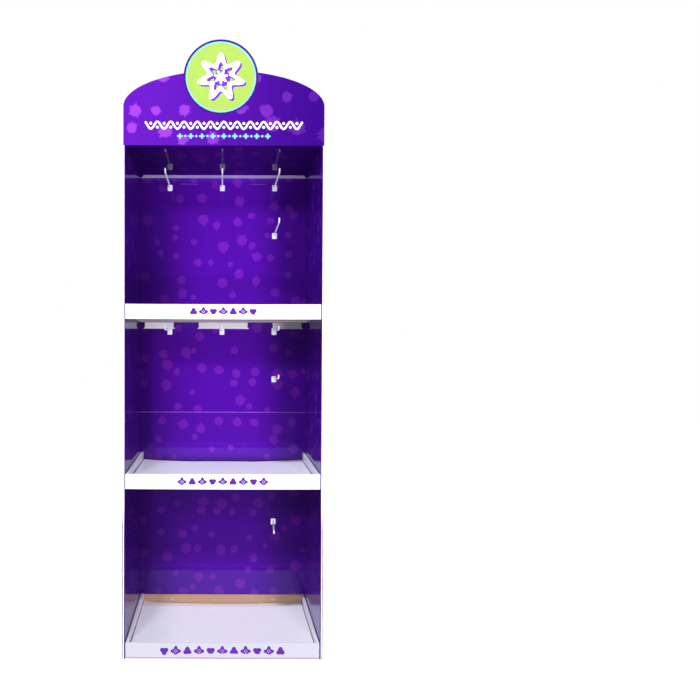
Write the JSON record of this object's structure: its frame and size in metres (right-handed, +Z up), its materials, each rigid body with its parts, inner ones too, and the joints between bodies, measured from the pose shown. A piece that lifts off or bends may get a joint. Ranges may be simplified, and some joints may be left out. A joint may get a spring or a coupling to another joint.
{
  "type": "cardboard display stand",
  "caption": "Tall open-fronted retail display stand of folded corrugated board, with lipped trays, back-wall product hooks and an arched header with a roundel.",
  "frame": {"origin": "centre of the footprint on the floor, hook locks behind the back panel included", "axes": "+Z up along the stand's height, the open front faces -Y, +X to the viewer's right"},
  "size_m": [0.552, 0.2824, 1.692],
  "materials": {
    "shell_board": "white-faced corrugated board, satin print",
    "liner_print": "gloss-laminated purple print",
    "header_print": "gloss-laminated violet print",
    "tray_board": "white satin board",
    "kraft_board": "unprinted kraft",
    "hook_plastic": "moulded white",
    "rivet_plastic": "translucent white"
  },
  "bodies": {
    "root": {"outer_shell": "shell_board", "liner_upper": "liner_print", "liner_lower": "liner_print", "header_board": "header_print", "ceiling_panel": "liner_print", "tray_top": "tray_board", "tray_middle": "tray_board", "tray_bottom": "tray_board", "stiffener_top": "kraft_board", "stiffener_middle": "kraft_board", "base_riser": "kraft_board", "hook_top_left": "hook_plastic", "hook_top_center": "hook_plastic", "hook_top_right": "hook_plastic", "hook_top_side": "hook_plastic", "hook_middle_left": "hook_plastic", "hook_middle_center": "hook_plastic", "hook_middle_right": "hook_plastic", "hook_middle_side": "hook_plastic", "hook_bottom_left": "hook_plastic", "hook_bottom_center": "hook_plastic", "hook_bottom_right": "hook_plastic", "hook_bottom_side": "hook_plastic", "back_rivets": "rivet_plastic"}
  },
  "joints": []
}
